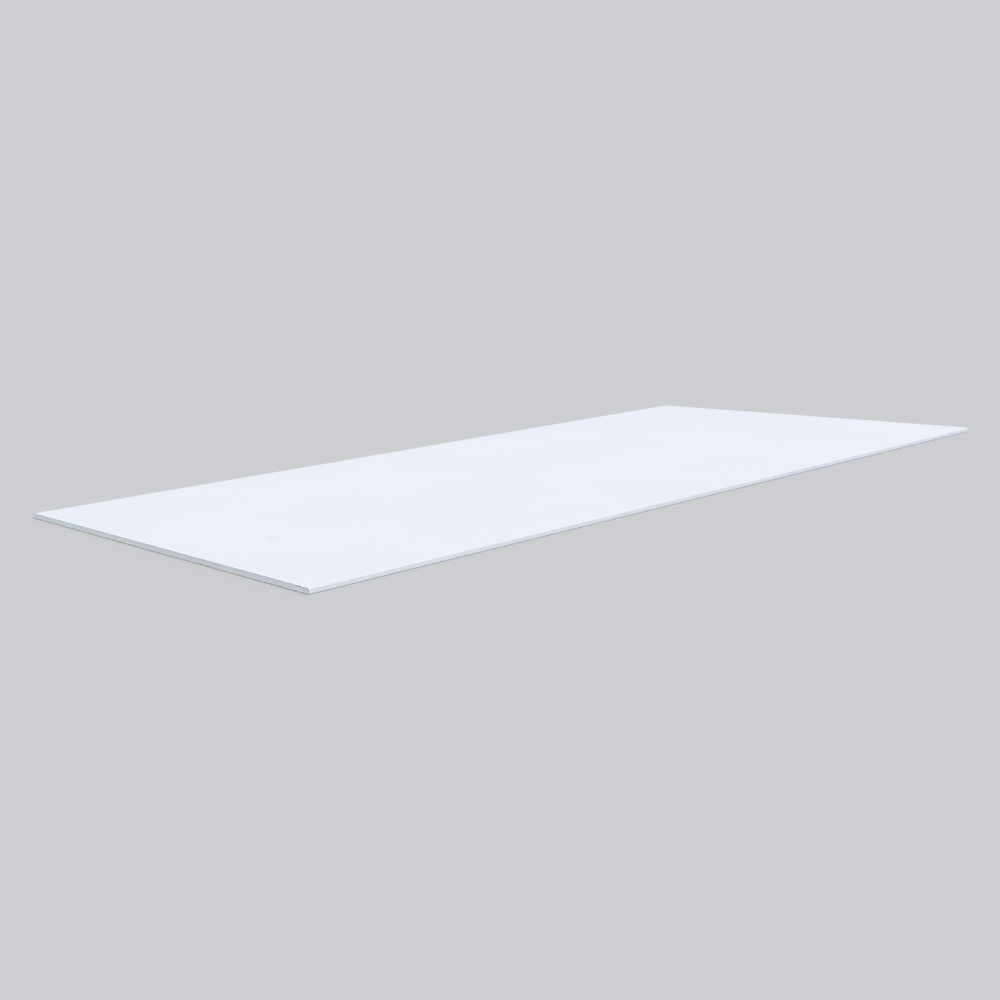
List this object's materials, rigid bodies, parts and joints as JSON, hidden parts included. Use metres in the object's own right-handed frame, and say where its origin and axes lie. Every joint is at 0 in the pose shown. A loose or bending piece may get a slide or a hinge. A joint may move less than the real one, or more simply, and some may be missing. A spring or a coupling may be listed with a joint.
{
  "type": "drywall sheet",
  "caption": "Full-size gypsum drywall sheet lying face up: sawn gypsum core, white face paper folded round both tapered long edges, brown back paper.",
  "frame": {"origin": "middle of the back, on the plane that the sheet lies on", "axes": "+X along the sheet's length, +Y across its width, +Z out of the face, so the back is down"},
  "size_m": [2.4, 1.2, 0.0125],
  "materials": {
    "gypsum": "sawn foamed gypsum, matt and chalky, cool grey-white with small air pits",
    "white_face_paper": "smooth matt multi-ply paper, cool white, very slightly fibrous",
    "brown_back_paper": "rough matt recycled brown paper with visible fibres and flecks"
  },
  "bodies": {
    "root": {"gypsum_core": "gypsum", "face_paper": "white_face_paper", "back_paper": "brown_back_paper"}
  },
  "joints": []
}
